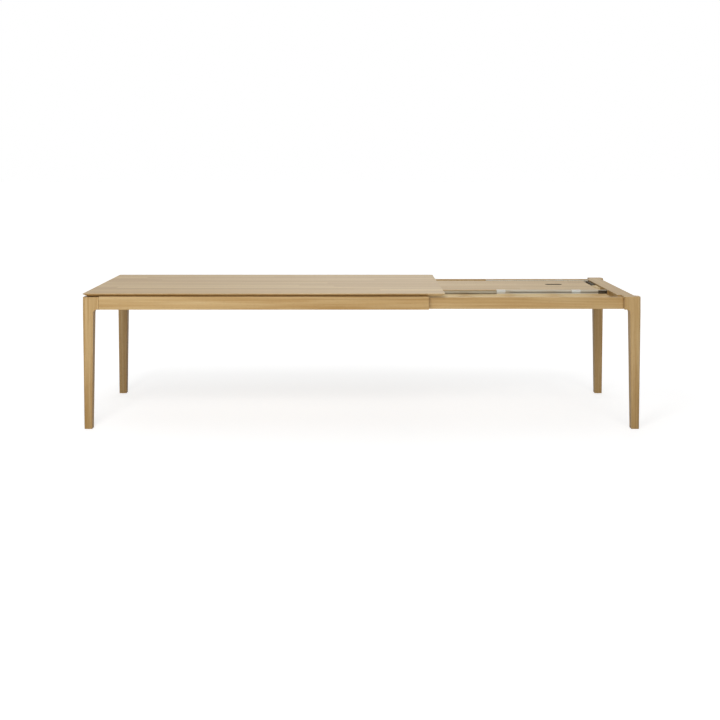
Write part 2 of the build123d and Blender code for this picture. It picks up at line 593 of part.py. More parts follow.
# ------------------------------------------------------------------ corner blocks and bolts
def corner_block_outline(end, side, apron_back):
    """Plan of a corner block: it fills the corner and wraps the leg's inner corner."""
    def at(x, y):
        return (end * x, side * y)

    with BuildLine() as outline:
        Polyline(at(CORNER_LINE - apron_back, apron_back), at(BLOCK_X, apron_back),
                 at(BLOCK_X, BLOCK_Y), at(END_BACK, BLOCK_Y),
                 at(END_BACK, CORNER_LINE - END_BACK), close=True)
    make_face(outline.edges())


CORNER_BLOCK_BOTTOM = APRON_BOTTOM + CORNER_BLOCK_LIFT
for end_name, end in ENDS.items():
    apron_back = OUTER_BACK if end < 0 else INNER_BACK
    with BuildPart() as corner_blocks:
        for side in SIDES.values():
            with BuildSketch(Plane.XY.offset(CORNER_BLOCK_BOTTOM)):
                corner_block_outline(end, side, apron_back)
            extrude(amount=CORNER_BLOCK_HEIGHT)
        for side in SIDES.values():
            corner_bolt(end, side, Mode.SUBTRACT, FIT)
    save(corner_blocks, f"corner_blocks_{end_name}")

    with BuildPart() as leg_bolts:
        for side in SIDES.values():
            corner_bolt(end, side)
    save(leg_bolts, f"leg_bolts_{end_name}")

    with BuildPart() as leg_nuts:
        for side in SIDES.values():
            reach = CORNER_COVER / sqrt(2)
            face = (end * (BLOCK_X - reach), side * (BLOCK_Y - reach), BOLT_Z)
            outward = (-end, -side, 0)
            rod(face, outward, WASHER_RADIUS, WASHER_THICKNESS)
            with BuildSketch(Plane(origin=face, z_dir=outward).offset(WASHER_THICKNESS)):
                RegularPolygon(NUT_FLATS / 2, 6, major_radius=False)
            extrude(amount=NUT_HEIGHT)
            corner_bolt(end, side, Mode.SUBTRACT, FIT)
    save(leg_nuts, f"leg_nuts_{end_name}")


# ------------------------------------------------------------------ fixed frame: rail, bearers
with BuildPart() as fixed_cross_rail:
    slab(FIXED_RAIL_X - FIXED_RAIL_WIDTH / 2, FIXED_RAIL_X + FIXED_RAIL_WIDTH / 2,
         -OUTER_BACK, OUTER_BACK, UNDERSIDE - FIXED_RAIL_HEIGHT, UNDERSIDE)
    for side in SIDES.values():
        cross_dowels(FIXED_RAIL_X, OUTER_BACK, FIXED_DOWEL_Z, FIXED_DOWEL_SPACING, side,
                     Mode.SUBTRACT, FIT)
    for x, y in FIXED_RAIL_SCREWS:
        rod((x, y, UNDERSIDE - FIXED_RAIL_HEIGHT), (0, 0, 1), POCKET_RADIUS,
            HEAD_Z - UNDERSIDE + FIXED_RAIL_HEIGHT, Mode.SUBTRACT)
        top_screw(x, y, HEAD_Z, Mode.SUBTRACT, FIT)
save(fixed_cross_rail, "fixed_cross_rail")

with BuildPart() as fixed_rail_dowels:
    for side in SIDES.values():
        cross_dowels(FIXED_RAIL_X, OUTER_BACK, FIXED_DOWEL_Z, FIXED_DOWEL_SPACING, side)
save(fixed_rail_dowels, "fixed_rail_dowels")

with BuildPart() as top_screws:
    for x, y in ALL_TOP_SCREWS:
        top_screw(x, y, HEAD_Z)
save(top_screws, "top_screws")


def channel_screw_start(x, side):
    return (x, bay(side * CHANNEL_BACK), SLOT_MIDDLE)


for side_name, side in SIDES.items():
    with BuildPart() as bearer:
        slab(BEARER_LEFT, CHANNEL_RIGHT, bay(side * BEARER_IN), bay(side * BEARER_OUT),
             UNDERSIDE - BEARER_HEIGHT, UNDERSIDE)
        for x, y in BEARER_SCREWS:
            rod((x, y, UNDERSIDE - BEARER_HEIGHT), (0, 0, 1), POCKET_RADIUS,
                BEARER_HEIGHT - SCREW_WOOD_LEFT, Mode.SUBTRACT)
            top_screw(x, y, HEAD_Z, Mode.SUBTRACT, FIT)
        for x in CHANNEL_SCREW_X:
            small_screw(channel_screw_start(x, side), (0, side, 0), Mode.SUBTRACT, FIT)
    save(bearer, f"slide_bearer_{side_name}")

    with BuildPart() as channel:
        inside_bottom = TONGUE_BOTTOM - SLIDE_PLAY
        inside_top = TONGUE_TOP + SLIDE_PLAY
        slab(CHANNEL_LEFT, CHANNEL_RIGHT, bay(side * CHANNEL_IN), bay(side * BEARER_IN),
             inside_bottom - CHANNEL_WALL, inside_top + CHANNEL_WALL)
        slab(CHANNEL_LEFT, CHANNEL_RIGHT, bay(side * (CHANNEL_IN + CHANNEL_WALL / 2)),
             bay(side * CHANNEL_BACK), inside_bottom, inside_top, Mode.SUBTRACT)
        slab(CHANNEL_LEFT, CHANNEL_RIGHT, bay(side * CHANNEL_IN), bay(side * CHANNEL_BACK),
             inside_bottom + CHANNEL_LIP, inside_top - CHANNEL_LIP, Mode.SUBTRACT)
        for x in CHANNEL_SCREW_X:
            small_screw(channel_screw_start(x, side), (0, side, 0), Mode.SUBTRACT, FIT)
    save(channel, f"slide_channel_{side_name}")

# ------------------------------------------------------------------ slide bars and their rails
def rail_screw(x, side, mode=Mode.ADD, fit=0.0):
    """A screw through the floor of the aluminium rail into the bearer under it."""
    start = (x, bay(side * (RAIL_IN + RAIL_OUT) / 2), RAIL_BOTTOM + RAIL_FLOOR)
    small_screw(start, (0, 0, -1), mode, fit)


def bearer_screw(x, side, mode=Mode.ADD, fit=0.0):
    """A screw up through a cross rail into a rail bearer."""
    start = (x, bay(side * (RAIL_IN + RAIL_OUT) / 2), BAY_RAIL_BOTTOM)
    screw(start, (0, 0, 1), SMALL_SCREW_RADIUS, BAY_RAIL_HEIGHT + BEARER_SCREW_DEPTH,
          SMALL_HEAD_RADIUS, SMALL_HEAD_HEIGHT, mode, fit)


for side_name, side in SIDES.items():
    inner_wall = bay(side * (RAIL_IN + RAIL_WALL))
    outer_wall = bay(side * (RAIL_OUT - RAIL_WALL))
    with BuildPart() as slide_bar:
        bar_out = bay(side * (RAIL_OUT - RAIL_WALL - SLIDE_PLAY))
        slab(BAR_LEFT, BAR_RIGHT, bay(side * (RAIL_IN + RAIL_WALL + SLIDE_PLAY)), bar_out,
             RAIL_BOTTOM + RAIL_FLOOR + SLIDE_PLAY, RAIL_TOP - RAIL_CAP - SLIDE_PLAY)
        slab(BAR_LEFT, TONGUE_RIGHT, bar_out, bay(side * TONGUE_IN), NECK_BOTTOM, NECK_TOP)
        slab(BAR_LEFT, TONGUE_RIGHT, bay(side * TONGUE_IN), bay(side * TONGUE_OUT),
             TONGUE_BOTTOM, TONGUE_TOP)
    save(slide_bar, f"slide_bar_{side_name}")

    with BuildPart() as rail:
        slab(RAIL_LEFT, RAIL_RIGHT, bay(side * RAIL_IN), bay(side * RAIL_OUT),
             RAIL_BOTTOM, RAIL_TOP)
        slab(RAIL_LEFT, RAIL_RIGHT, inner_wall, outer_wall, RAIL_BOTTOM + RAIL_FLOOR,
             RAIL_TOP - RAIL_CAP, Mode.SUBTRACT)
        slab(RAIL_LEFT, RAIL_RIGHT, outer_wall, bay(side * RAIL_OUT), SLOT_BOTTOM, SLOT_TOP,
             Mode.SUBTRACT)
        for x in PAD_STARTS:
            slab(x, x + PAD_LENGTH, inner_wall, bay(side * RAIL_OUT), RAIL_TOP - PAD_SEAT,
                 RAIL_TOP, Mode.SUBTRACT)
            slab(x, x + PAD_LENGTH, outer_wall, bay(side * RAIL_OUT), RAIL_BOTTOM + RAIL_FLOOR,
                 RAIL_TOP, Mode.SUBTRACT)
        slab(RAIL_RIGHT - SHOE_CHEEK, RAIL_RIGHT, outer_wall, bay(side * RAIL_OUT), RAIL_BOTTOM,
             RAIL_TOP, Mode.SUBTRACT)
        for x in RAIL_SCREW_X:
            rail_screw(x, side, Mode.SUBTRACT, FIT)
    save(rail, f"leaf_rail_{side_name}")

with BuildPart() as rail_pads:
    pad_top = PULL_TOP + PAD_PROUD
    for side in SIDES.values():
        inner_wall = bay(side * (RAIL_IN + RAIL_WALL))
        outer_wall = bay(side * (RAIL_OUT - RAIL_WALL))
        for x in PAD_STARTS:
            slab(x, x + PAD_LENGTH, inner_wall, bay(side * RAIL_OUT), RAIL_TOP - PAD_SEAT,
                 pad_top)
            slab(x, x + PAD_LENGTH, outer_wall, bay(side * RAIL_OUT), NECK_TOP + PAD_GAP, pad_top)
            slab(x, x + PAD_LENGTH, outer_wall, bay(side * RAIL_OUT), RAIL_BOTTOM + RAIL_FLOOR,
                 NECK_BOTTOM - PAD_GAP)
save(rail_pads, "rail_pads")

with BuildPart() as rail_end_shoes:
    for side in SIDES.values():
        slab(RAIL_RIGHT, SHOE_RIGHT, bay(side * RAIL_IN), bay(side * RAIL_OUT), RAIL_BOTTOM,
             RAIL_TOP)
        for bottom, top in ((RAIL_BOTTOM, NECK_BOTTOM - PAD_GAP), (NECK_TOP + PAD_GAP, RAIL_TOP)):
            slab(RAIL_RIGHT - SHOE_CHEEK, RAIL_RIGHT, bay(side * (RAIL_OUT - RAIL_WALL)),
                 bay(side * RAIL_OUT), bottom, top)
        slab(RAIL_RIGHT - SHOE_PLUG, RAIL_RIGHT, bay(side * (RAIL_IN + RAIL_WALL + FIT)),
             bay(side * (RAIL_OUT - RAIL_WALL - FIT)), RAIL_BOTTOM + RAIL_FLOOR + FIT,
             RAIL_TOP - RAIL_CAP - FIT)
    arm_top = RAIL_TOP - SHOE_ARM_DROP
    slab(SHOE_RIGHT - SHOE_ARM_WIDTH, SHOE_RIGHT, bay(STOP_WIDTH / 2 + STOP_MARGIN),
         bay(RAIL_IN - FIT), arm_top - SHOE_ARM_HEIGHT, arm_top)
    slab(RAIL_RIGHT, SHOE_RIGHT, bay(RAIL_IN - SHOE_PLATE), bay(RAIL_OUT),
         arm_top - SHOE_ARM_HEIGHT, arm_top)
save(rail_end_shoes, "rail_end_shoes")

for side_name, side in SIDES.items():
    with BuildPart() as rail_bearer:
        slab(FIRST_BAY_RAIL - BAY_RAIL_WIDTH / 2, RAIL_RIGHT, bay(side * RAIL_IN),
             bay(side * RAIL_OUT), BAY_RAIL_TOP, RAIL_BOTTOM)
        slab(RAIL_RIGHT, CLEAT_BACK + BEARER_TAIL, bay(side * RAIL_IN), bay(side * RAIL_OUT),
             BAY_RAIL_TOP, CLEAT_BOTTOM)
        for x in RAIL_SCREW_X:
            rail_screw(x, side, Mode.SUBTRACT, FIT)
        for x in LEAF_RAIL_X:
            bearer_screw(x, side, Mode.SUBTRACT, FIT)
    save(rail_bearer, f"rail_bearer_{side_name}")

with BuildPart() as rail_screws:
    for side in SIDES.values():
        for x in RAIL_SCREW_X:
            rail_screw(x, side)
save(rail_screws, "rail_screws")

with BuildPart() as bearer_screws:
    for side in SIDES.values():
        for x in LEAF_RAIL_X:
            bearer_screw(x, side)
save(bearer_screws, "bearer_screws")

# ------------------------------------------------------------------ pull-out frame: cross rails
for number, x in enumerate(BAY_RAIL_X, start=1):
    with BuildPart() as bay_rail:
        slab(x - BAY_RAIL_WIDTH / 2, x + BAY_RAIL_WIDTH / 2, -INNER_BACK, INNER_BACK,
             BAY_RAIL_BOTTOM, BAY_RAIL_TOP)
        for side in SIDES.values():
            cross_dowels(x, INNER_BACK, BAY_DOWEL_Z, BAY_DOWEL_SPACING, side, Mode.SUBTRACT, FIT)
            if x in LEAF_RAIL_X:
                bearer_screw(x, side, Mode.SUBTRACT, FIT)
    save(bay_rail, f"bay_rail_{number}")

with BuildPart() as bay_rail_dowels:
    for side in SIDES.values():
        for x in BAY_RAIL_X:
            cross_dowels(x, INNER_BACK, BAY_DOWEL_Z, BAY_DOWEL_SPACING, side)
save(bay_rail_dowels, "bay_rail_dowels")

with BuildPart() as end_cleat:
    slab(CLEAT_BACK, END_BACK, -BLOCK_Y, BLOCK_Y, CLEAT_BOTTOM, PULL_TOP)
    for side in SIDES.values():
        slab(SHOE_RIGHT, CLEAT_BACK, bay(side * RAIL_IN), bay(side * RAIL_OUT), CLEAT_BOTTOM,
             PULL_TOP)
    for start in CLEAT_SCREWS:
        screw(start, (1, 0, 0), SCREW_RADIUS, CLEAT_SCREW_LENGTH, SCREW_HEAD_RADIUS,
              SCREW_HEAD_HEIGHT, Mode.SUBTRACT, FIT)
save(end_cleat, "end_cleat")

with BuildPart() as cleat_screws:
    for start in CLEAT_SCREWS:
        screw(start, (1, 0, 0), SCREW_RADIUS, CLEAT_SCREW_LENGTH, SCREW_HEAD_RADIUS,
              SCREW_HEAD_HEIGHT)
save(cleat_screws, "cleat_screws")

# ------------------------------------------------------------------ glides, bumpers and stops
BUTTON_THICKNESS = APRON_CLEARANCE - BUTTON_CLEARANCE
BUTTON_Z = (APRON_BOTTOM + INNER_TOP) / 2
with BuildPart() as pull_out_buttons:
    for side in SIDES.values():
        rod((INNER_START + BUTTON_INSET, side * INNER_FACE, BUTTON_Z), (0, side, 0),
            BUTTON_RADIUS, BUTTON_THICKNESS)
save(pull_out_buttons, "pull_out_buttons")

with BuildPart() as fixed_buttons:
    for side in SIDES.values():
        rod((OUTER_END - BUTTON_INSET, side * OUTER_BACK, BUTTON_Z), (0, -side, 0),
            BUTTON_RADIUS, BUTTON_THICKNESS)
save(fixed_buttons, "fixed_buttons")

with BuildPart() as closing_bumpers:
    for side in SIDES.values():
        rod((OUTER_END, side * (OUTER_FACE + OUTER_BACK) / 2, BUTTON_Z), (1, 0, 0),
            BUMPER_RADIUS, CLOSING_GAP - BUMPER_CLEARANCE)
save(closing_bumpers, "closing_bumpers")

with BuildPart() as leaf_stops:
    slab(LEAF_LEFT - STOP_GAP - STOP_LENGTH, LEAF_LEFT - STOP_GAP, bay(-STOP_WIDTH / 2),
         bay(STOP_WIDTH / 2), BAY_RAIL_TOP, BAY_RAIL_TOP + STOP_HEIGHT)
    slab(LEAF_RIGHT + STOP_GAP, CLEAT_BACK, bay(-STOP_WIDTH / 2), bay(STOP_WIDTH / 2),
         CLEAT_BOTTOM, CLEAT_BOTTOM + STOP_HEIGHT)
save(leaf_stops, "leaf_stops")

# ------------------------------------------------------------------ strike plates, small screws
with BuildPart() as leaf_keepers:
    for side in SIDES.values():
        y = side * KEEPER_SPREAD
        slab(KEEPER_X - KEEPER_LENGTH / 2, KEEPER_X + KEEPER_LENGTH / 2, y - KEEPER_WIDTH / 2,
             y + KEEPER_WIDTH / 2, UNDERSIDE, UNDERSIDE + KEEPER_THICKNESS)
        slab(KEEPER_X, KEEPER_X + KEEPER_LENGTH / 2, y - KEEPER_FORK / 2, y + KEEPER_FORK / 2,
             UNDERSIDE, UNDERSIDE + KEEPER_THICKNESS, Mode.SUBTRACT)
        for dy in (-KEEPER_SCREW_SPREAD, KEEPER_SCREW_SPREAD):
            small_screw((KEEPER_X, y + dy, UNDERSIDE), (0, 0, 1), Mode.SUBTRACT, FIT)
save(leaf_keepers, "leaf_keepers")

with BuildPart() as small_screws:
    for side in SIDES.values():
        for x in CHANNEL_SCREW_X:
            small_screw(channel_screw_start(x, side), (0, side, 0))
        for dy in (-KEEPER_SCREW_SPREAD, KEEPER_SCREW_SPREAD):
            small_screw((KEEPER_X, side * KEEPER_SPREAD + dy, UNDERSIDE), (0, 0, 1))
save(small_screws, "small_screws")

# ------------------------------------------------------------------ the folded leaf
LOWER_MIDDLE = (LOWER_UNDER + LOWER_SHOW) / 2
UPPER_MIDDLE = (UPPER_SHOW + UPPER_UNDER) / 2
HINGE_SIDE = bay(-LEAF_HALF)


def hinge_barrel(x, z, mode=Mode.ADD, fit=0.0):
    """A hinge barrel let into the seam edge of one half of the leaf."""
    rod((x, HINGE_SIDE, z), (0, 1, 0), HINGE_BARREL_RADIUS + fit, HINGE_BARREL_DEPTH, mode)


def hinge_link(x, mode=Mode.ADD, fit=0.0):
    """The link that joins the two barrels of a hinge, flush with the seam edges."""
    slab(x - HINGE_LINK_WIDTH / 2 - fit, x + HINGE_LINK_WIDTH / 2 + fit, HINGE_SIDE,
         HINGE_SIDE + HINGE_LINK_THICKNESS + fit, LOWER_MIDDLE - HINGE_BARREL_RADIUS - fit,
         UPPER_MIDDLE + HINGE_BARREL_RADIUS + fit, mode)


with BuildPart() as leaf_lower_half:
    bevelled_panel(LEAF_LEFT, LEAF_RIGHT, HINGE_SIDE, bay(LEAF_HALF), LOWER_SHOW, LOWER_UNDER,
                   (0, BEVEL_WIDTH, 0, BEVEL_WIDTH))
    for x in HINGE_X:
        hinge_barrel(x, LOWER_MIDDLE, Mode.SUBTRACT, FIT)
        hinge_link(x, Mode.SUBTRACT, FIT)
save(leaf_lower_half, "leaf_lower_half")

with BuildPart() as leaf_upper_half:
    bevelled_panel(LEAF_LEFT, LEAF_RIGHT, HINGE_SIDE, bay(LEAF_HALF), UPPER_SHOW, UPPER_UNDER,
                   (0, BEVEL_WIDTH, 0, BEVEL_WIDTH))
    for x in HINGE_X:
        hinge_barrel(x, UPPER_MIDDLE, Mode.SUBTRACT, FIT)
        hinge_link(x, Mode.SUBTRACT, FIT)
    with BuildSketch(Plane.XY.offset(UPPER_UNDER)):
        with Locations((PULL_X, bay(PULL_OFFSET))):
            SlotOverall(PULL_LENGTH + 2 * FIT, PULL_WIDTH + 2 * FIT)
    extrude(amount=-PULL_DEPTH, mode=Mode.SUBTRACT)
save(leaf_upper_half, "leaf_upper_half")

with BuildPart() as finger_pull:
    with BuildSketch(Plane.XY.offset(UPPER_UNDER)):
        with Locations((PULL_X, bay(PULL_OFFSET))):
            SlotOverall(PULL_LENGTH, PULL_WIDTH)
    extrude(amount=-PULL_DEPTH)
    with BuildSketch(Plane.XY.offset(UPPER_UNDER)):
        with Locations((PULL_X, bay(PULL_OFFSET))):
            SlotOverall(PULL_LENGTH - 2 * PULL_WALL, PULL_WIDTH - 2 * PULL_WALL)
    extrude(amount=PULL_WALL - PULL_DEPTH, mode=Mode.SUBTRACT)
save(finger_pull, "finger_pull")

with BuildPart() as leaf_hinge_barrels:
    for x in HINGE_X:
        hinge_barrel(x, LOWER_MIDDLE)
        hinge_barrel(x, UPPER_MIDDLE)
        hinge_link(x, Mode.SUBTRACT)
save(leaf_hinge_barrels, "leaf_hinge_barrels")

with BuildPart() as leaf_hinge_links:
    for x in HINGE_X:
        hinge_link(x)
save(leaf_hinge_links, "leaf_hinge_links")

with BuildPart() as leaf_felt_dots:
    for x in (LEAF_LEFT + FELT_DOT_INSET, LEAF_RIGHT - FELT_DOT_INSET):
        for side in SIDES.values():
            rod((x, bay(side * (LEAF_HALF - FELT_DOT_INSET)), LOWER_SHOW), (0, 0, 1),
                FELT_DOT_RADIUS, LEAF_FELT)
save(leaf_felt_dots, "leaf_felt_dots")

with BuildPart() as leaf_rest_strips:
    for x in LEAF_RAIL_X:
        slab(x - LEAF_REST_WIDTH / 2, x + LEAF_REST_WIDTH / 2,
             bay(LEAF_REST_INSET - LEAF_HALF), bay(LEAF_HALF - LEAF_REST_INSET),
             BAY_RAIL_TOP, LOWER_UNDER)
save(leaf_rest_strips, "leaf_rest_strips")
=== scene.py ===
"""An extendable dining table drawn out: the finishes, light, floor and camera for its pieces."""
import json
import math

import bpy
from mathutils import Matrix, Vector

MM = 0.001

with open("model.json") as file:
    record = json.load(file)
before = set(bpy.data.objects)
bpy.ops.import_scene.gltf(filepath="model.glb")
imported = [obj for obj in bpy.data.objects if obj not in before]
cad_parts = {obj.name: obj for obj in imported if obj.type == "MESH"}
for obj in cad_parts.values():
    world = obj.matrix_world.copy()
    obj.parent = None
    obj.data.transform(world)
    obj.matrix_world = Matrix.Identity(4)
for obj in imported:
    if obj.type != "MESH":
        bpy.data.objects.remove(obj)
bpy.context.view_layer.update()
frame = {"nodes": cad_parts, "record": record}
nodes = frame["nodes"]


# ------------------------------------------------------------------ small helpers
def rgb(code):
    """A hex sRGB colour as linear RGBA, by the standard sRGB curve."""
    parts = [int(code[i:i + 2], 16) / 255 for i in (1, 3, 5)]
    linear = [c / 12.92 if c <= 0.04045 else ((c + 0.055) / 1.055) ** 2.4 for c in parts]
    return (*linear, 1.0)


def bare_tree(holder):
    """The node tree of a material or a world, with nothing in it yet."""
    holder.use_nodes = True
    holder.node_tree.nodes.clear()
    return holder.node_tree


def add(tree, kind, inputs=None, **settings):
    """Add a node with its settings, give each input a value or a link, and return the outputs."""
    node = tree.nodes.new("ShaderNode" + kind)
    for key, value in settings.items():
        setattr(node, key, value)
    for key, value in (inputs or {}).items():
        if isinstance(value, bpy.types.NodeSocket):
            tree.links.new(value, node.inputs[key])
        else:
            node.inputs[key].default_value = value
    return node.outputs


def lay_over(tree, base, over, pattern, low, high, least, most):
    """Lay a colour over a base, its share going from least to most as a pattern goes from low
    to high."""
    share = add(tree, "MapRange", {0: pattern, 1: low, 2: high, 3: least, 4: most})[0]
    return add(tree, "Mix", {0: share, 6: base, 7: over}, data_type="RGBA")[2]


# ------------------------------------------------------------------ wood
# Degrees that bring the grain of a piece along one axis to the figure's own X axis.
GRAIN_TURN = {"x": (0.0, 0.0, 0.0), "y": (0.0, 0.0, -90.0), "z": (0.0, 90.0, 0.0)}

# Length along the grain and width across it, in mm.
GROWTH_BAND = (1800.0, 62.0)    # the broad light and dark bands of a board
GROWTH_RING = (620.0, 13.0)
FIBRE = (110.0, 1.6)            # coarser than the real 0.3 mm, or it would not show
PORE = (24.0, 0.8)              # coarser than the real 0.3 mm, for the same reason
PORE_DEPTH = 0.12               # mm

# A pattern runs from 0 to 1 with its middle at 0.5.  Each of these gives the part of a pattern
# over which a colour comes in, and its share of the surface at either end of that part.
BAND_SPREAD = 0.22              # to either side of the middle, for a contrast of 1
RING_PALE = (0.42, 0.72, 0.0, 0.75)
FIBRE_DARK = (0.35, 0.75, 0.0, 0.34)
PORE_EDGE = (0.60, 0.74)
PORE_SHARE = 0.42
STAVE_DARK = (0.3, 1.0)
STAVE_PALE = (0.0, 0.5)

STAVE_STAGGER = 3.7             # staves that a row may be shifted by
STAVE_JUMP = 9.0                # metres between the places that two staves are cut from

FIBRE_RELIEF = 0.3              # height of the fibres, as a share of the depth of the pores
RELIEF_STRENGTH = 0.55
RING_SHINE = (0.3, 0.8)         # the part of the rings over which the sheen falls off
EARLY_SHINE, LATE_SHINE = 0.04, 0.06    # what the rings take from and add to the roughness
LACQUER_ROUGHNESS = 0.32
WOOD_IOR = 1.45


def wood(name, grain, pale, mean, dark, pore, stave_width=0.0, stave_length=1.0, coat=0.12,
         roughness=0.45, contrast=1.8, stave_tone=0.4, seed=0.0):
    """Wood with its grain along one axis.

    The figure is made of four layers: broad growth bands that run the length of the board and
    waver slowly, finer rings, streaks of fibre, and short dark pores.  Staves, where the board has
    them, shift the figure and the tone from one strip to the next.  Stave sizes are in mm.
    """
    material = bpy.data.materials.new(name)
    tree = bare_tree(material)
    board = add(tree, "TexCoord")["Object"]
    turn = [math.radians(a) for a in GRAIN_TURN[grain]]
    board = add(tree, "VectorRotate", {"Vector": board, "Rotation": turn},
                rotation_type="EULER_XYZ")[0]
    along, across, up = add(tree, "SeparateXYZ", {0: board})
    if stave_width:
        row = add(tree, "Math", {0: across, 1: stave_width * MM}, operation="DIVIDE")[0]
        row = add(tree, "Math", {0: row}, operation="FLOOR")[0]
        stagger = add(tree, "TexWhiteNoise", {"W": row}, noise_dimensions="1D")["Value"]
        column = add(tree, "Math", {0: along, 1: stave_length * MM}, operation="DIVIDE")[0]
        column = add(tree, "Math", {0: stagger, 1: STAVE_STAGGER, 2: column},
                     operation="MULTIPLY_ADD")[0]
        column = add(tree, "Math", {0: column}, operation="FLOOR")[0]
        stave = add(tree, "CombineXYZ", {0: column, 1: row, 2: seed})[0]
        tone = add(tree, "TexWhiteNoise", {"Vector": stave}, noise_dimensions="3D")["Value"]
        jump = {0: tone, 1: STAVE_JUMP}
        along = add(tree, "Math", {**jump, 2: along}, operation="MULTIPLY_ADD")[0]
        up = add(tree, "Math", {**jump, 2: up}, operation="MULTIPLY_ADD")[0]
    along = add(tree, "Math", {0: along, 1: seed}, operation="ADD")[0]
    board = add(tree, "CombineXYZ", {0: along, 1: across, 2: up})[0]

    def figure(size, detail, fineness, waver=0.0):
        """A pattern of streaks of this length and width, in mm."""
        length, width = (value * MM for value in size)
        at = add(tree, "VectorMath", {0: board, 1: (length, width, width)}, operation="DIVIDE")[0]
        return add(tree, "TexNoise", {"Vector": at, "Scale": 1.0, "Detail": detail,
                                      "Roughness": fineness, "Distortion": waver})[0]

    bands = figure(GROWTH_BAND, detail=3.0, fineness=0.55, waver=0.35)
    rings = figure(GROWTH_RING, detail=3.0, fineness=0.6, waver=0.25)
    fibre = figure(FIBRE, detail=2.0, fineness=0.6)
    pores = figure(PORE, detail=1.0, fineness=0.5)

    half = BAND_SPREAD / contrast
    base = lay_over(tree, rgb(dark), rgb(mean), bands, 0.5 - half, 0.5 + half, 0.0, 1.0)
    base = lay_over(tree, base, rgb(pale), rings, *RING_PALE)
    if stave_width:
        base = lay_over(tree, base, rgb(dark), tone, *STAVE_DARK, 0.0, stave_tone)
        base = lay_over(tree, base, rgb(pale), tone, *STAVE_PALE, stave_tone, 0.0)
    base = lay_over(tree, base, rgb(dark), fibre, *FIBRE_DARK)
    base = lay_over(tree, base, rgb(pore), pores, *PORE_EDGE, 0.0, PORE_SHARE)

    rim, floor = PORE_EDGE
    pits = add(tree, "MapRange", {0: pores, 1: rim, 2: floor, 3: 0.0, 4: -1.0})[0]
    relief = add(tree, "Math", {0: fibre, 1: FIBRE_RELIEF, 2: pits},
                 operation="MULTIPLY_ADD")[0]
    normal = add(tree, "Bump", {"Height": relief, "Distance": PORE_DEPTH * MM,
                                "Strength": RELIEF_STRENGTH})[0]
    early, late = RING_SHINE
    rough = add(tree, "MapRange", {0: rings, 1: early, 2: late, 3: roughness - EARLY_SHINE,
                                   4: roughness + LATE_SHINE})[0]
    surface = add(tree, "BsdfPrincipled", {
        "Base Color": base, "Roughness": rough, "Normal": normal, "Coat Weight": coat,
        "Coat Roughness": LACQUER_ROUGHNESS, "IOR": WOOD_IOR})[0]
    add(tree, "OutputMaterial", {"Surface": surface})
    return material


# Light oak, planed, sanded and finished with a clear matt lacquer that leaves the pores open, so
# that it looks dry and warm, with a soft sheen only at low angles.  Top and leaf are glued up
# from staves.
OAK = dict(pale="#D3B887", mean="#C5A36E", dark="#AC864D", pore="#76552B")
STAVES = dict(stave_width=58.0, stave_length=1300.0)
oak_top = wood("lacquered_oak_top", "x", **OAK, **STAVES, stave_tone=0.55, contrast=2.4,
               coat=0.2, roughness=0.42, seed=3.1)
oak_leaf = wood("lacquered_oak_leaf", "x", **OAK, **STAVES, seed=8.4)
oak_long = wood("lacquered_oak_long", "x", **OAK, seed=6.1)
oak_cross = wood("lacquered_oak_cross", "y", **OAK, seed=1.9)
oak_leg = wood("lacquered_oak_leg", "z", **OAK, seed=5.3)
# Beech, planed and left bare: paler and more even than the oak, with no shine at all.
BEECH = dict(pale="#E6D4AC", mean="#DCC79B", dark="#CDB182", pore="#B4946A")
beech_long = wood("planed_beech_long", "x", **BEECH, coat=0.0, roughness=0.6, seed=2.2)
beech_cross = wood("planed_beech_cross", "y", **BEECH, coat=0.0, roughness=0.6, seed=4.1)


# ------------------------------------------------------------------ metal, plastic and felt
DRAWN_STRETCH = 50.0            # how much longer than wide the marks of drawing and extruding are
SPECK_EDGE = (0.3, 0.7)         # the part of the pattern over which a speck comes in
SPECK_DETAIL, SPECK_FINENESS = 3.0, 0.6
SPECK_STRENGTH = 0.6
SHINE_SPREAD = 0.15             # how far the specks change the roughness, to either side


def plain(name, colour, roughness, grit, depth, mottling, metallic=0.0, stretch=1.0, **more):
    """A surface of one colour with a fine texture.

    Grit is the width of its specks and depth their height, both in mm; mottling is how much
    darker some of them are, and stretch pulls them out along the table.
    """
    material = bpy.data.materials.new(name)
    tree = bare_tree(material)
    at = add(tree, "TexCoord")["Object"]
    speck = (grit * MM * stretch, grit * MM, grit * MM)
    at = add(tree, "VectorMath", {0: at, 1: speck}, operation="DIVIDE")[0]
    specks = add(tree, "TexNoise", {"Vector": at, "Scale": 1.0, "Detail": SPECK_DETAIL,
                                    "Roughness": SPECK_FINENESS})[0]
    clean = rgb(colour)
    shaded = (*(c * (1.0 - mottling) for c in clean[:3]), 1.0)
    base = lay_over(tree, clean, shaded, specks, *SPECK_EDGE, 0.0, 1.0)
    low, high = SPECK_EDGE
    rough = add(tree, "MapRange", {0: specks, 1: low, 2: high,
                                   3: roughness * (1.0 - SHINE_SPREAD),
                                   4: min(1.0, roughness * (1.0 + SHINE_SPREAD))})[0]
    normal = add(tree, "Bump", {"Height": specks, "Distance": depth * MM,
                                "Strength": SPECK_STRENGTH})[0]
    surface = add(tree, "BsdfPrincipled", {
        "Base Color": base, "Roughness": rough, "Metallic": metallic, "Normal": normal,
        **more})[0]
    add(tree, "OutputMaterial", {"Surface": surface})
    return material


# The grit of these surfaces is really 0.05 to 0.3 mm, and is drawn coarser, or it would not show.
# Extruded aluminium, etched matt and natural anodised: a soft grey with faint lines of the die.
# The clear oxide over the metal takes some of its shine, so it is not wholly metallic.
anodised_aluminium = plain("anodised_aluminium", "#C9C2B2", 0.44, grit=2.5, depth=0.02,
                           mottling=0.06, metallic=0.7, stretch=DRAWN_STRETCH)
